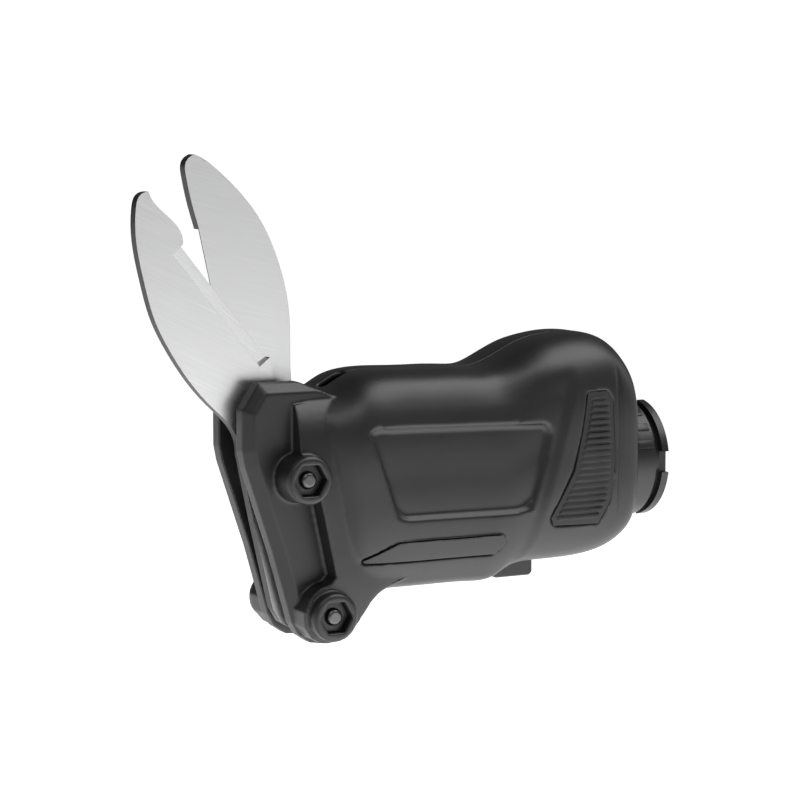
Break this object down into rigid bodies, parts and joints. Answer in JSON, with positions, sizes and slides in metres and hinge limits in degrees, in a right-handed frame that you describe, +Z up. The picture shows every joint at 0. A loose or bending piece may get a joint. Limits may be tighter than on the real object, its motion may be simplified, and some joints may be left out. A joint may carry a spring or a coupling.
{
  "type": "powered shear head",
  "caption": "Attachment head with two short steel scissor blades in the yoke of a moulded housing and a rotary drive coupling at the rear.",
  "frame": {"origin": "centre of the coupling spigot's seating face, on the drive axis", "axes": "+X rearwards along the drive axis, the way the power unit leaves; +Z up; blades towards -X"},
  "size_m": [0.2155, 0.061, 0.1803],
  "materials": {
    "housing_plastic": "fine moulded texture",
    "grip_rubber": "matt",
    "inlay_plastic": "satin",
    "blade_steel": "ground across, blackened edges",
    "black_steel": "black oxide",
    "machined_steel": "turned",
    "bronze": "sintered",
    "case_alloy": "die cast",
    "coupling_plastic": "satin"
  },
  "bodies": {
    "housing": {"near_housing": "housing_plastic", "far_housing": "housing_plastic", "spring_seat": "housing_plastic", "near_grip_pad": "grip_rubber", "far_grip_pad": "grip_rubber", "near_inlay": "inlay_plastic", "far_inlay": "inlay_plastic", "fixed_blade": "blade_steel", "pivot_bolt": "black_steel", "pivot_nut": "black_steel", "lower_bolt": "black_steel", "lower_nut": "black_steel", "housing_screws": "black_steel", "pivot_sleeve": "machined_steel", "near_pivot_washer": "machined_steel", "far_pivot_washer": "machined_steel", "near_lower_spacer": "machined_steel", "far_lower_spacer": "machined_steel", "ring_gear": "machined_steel", "button_spring": "machined_steel", "front_bush": "bronze", "case_bush": "bronze", "rear_bush": "bronze", "gear_case": "case_alloy", "case_cover": "case_alloy", "coupling_spigot": "coupling_plastic"},
    "crank": {"crankshaft": "machined_steel", "crank_pin_collar": "machined_steel", "crank_spacer": "machined_steel", "planet_carrier": "machined_steel", "planet_pins": "machined_steel"},
    "ball": {"crank_ball": "machined_steel"},
    "blade": {"moving_blade": "blade_steel", "drive_fork": "machined_steel", "fork_rivets": "machined_steel"},
    "input": {"input_shaft": "machined_steel", "sun_gear": "machined_steel"},
    "planet_1": {"planet_gear_1": "machined_steel"},
    "planet_2": {"planet_gear_2": "machined_steel"},
    "planet_3": {"planet_gear_3": "machined_steel"},
    "button": {"lock_button": "housing_plastic"}
  },
  "joints": [
    {"name": "crank_turn", "type": "hinge", "parent": "housing", "child": "crank", "pos_m": [0, 0, 0], "axis": [1, 0, 0], "range_deg": [0, 180]},
    {"name": "blade_pivot", "type": "hinge", "parent": "housing", "child": "blade", "pos_m": [-0.143, 0, 0.003], "axis": [0, -1, 0], "range_deg": [0, 22.77]},
    {"name": "input_turn", "type": "hinge", "parent": "housing", "child": "input", "pos_m": [0, 0, 0], "axis": [1, 0, 0], "range_deg": [0, 900]},
    {"name": "ball_turn", "type": "hinge", "parent": "crank", "child": "ball", "pos_m": [-0.113, 0, -0.0061], "axis": [1, 0, 0], "continuous": true},
    {"name": "button_slide", "type": "slide", "parent": "housing", "child": "button", "axis": [0, 0, 1], "range_m": [0, 0.003], "stiffness_N_per_m": 400, "springref_m": -0.002, "deforming": ["button_spring"]},
    {"name": "planet_1_turn", "type": "hinge", "parent": "crank", "child": "planet_1", "pos_m": [-0.0314, 0.012, 0], "axis": [1, 0, 0], "range_deg": [-480.01, 0]},
    {"name": "planet_2_turn", "type": "hinge", "parent": "crank", "child": "planet_2", "pos_m": [-0.0314, -0.006, 0.01039], "axis": [1, 0, 0], "range_deg": [-480.01, 0]},
    {"name": "planet_3_turn", "type": "hinge", "parent": "crank", "child": "planet_3", "pos_m": [-0.0314, -0.006, -0.01039], "axis": [1, 0, 0], "range_deg": [-480.01, 0]}
  ],
  "couplings": [
    {"joint": "blade_pivot", "follows": "crank_turn", "ratio": 0.12652},
    {"joint": "input_turn", "follows": "crank_turn", "ratio": 5},
    {"joint": "planet_1_turn", "follows": "crank_turn", "ratio": -2.6667},
    {"joint": "planet_2_turn", "follows": "crank_turn", "ratio": -2.6667},
    {"joint": "planet_3_turn", "follows": "crank_turn", "ratio": -2.6667}
  ]
}
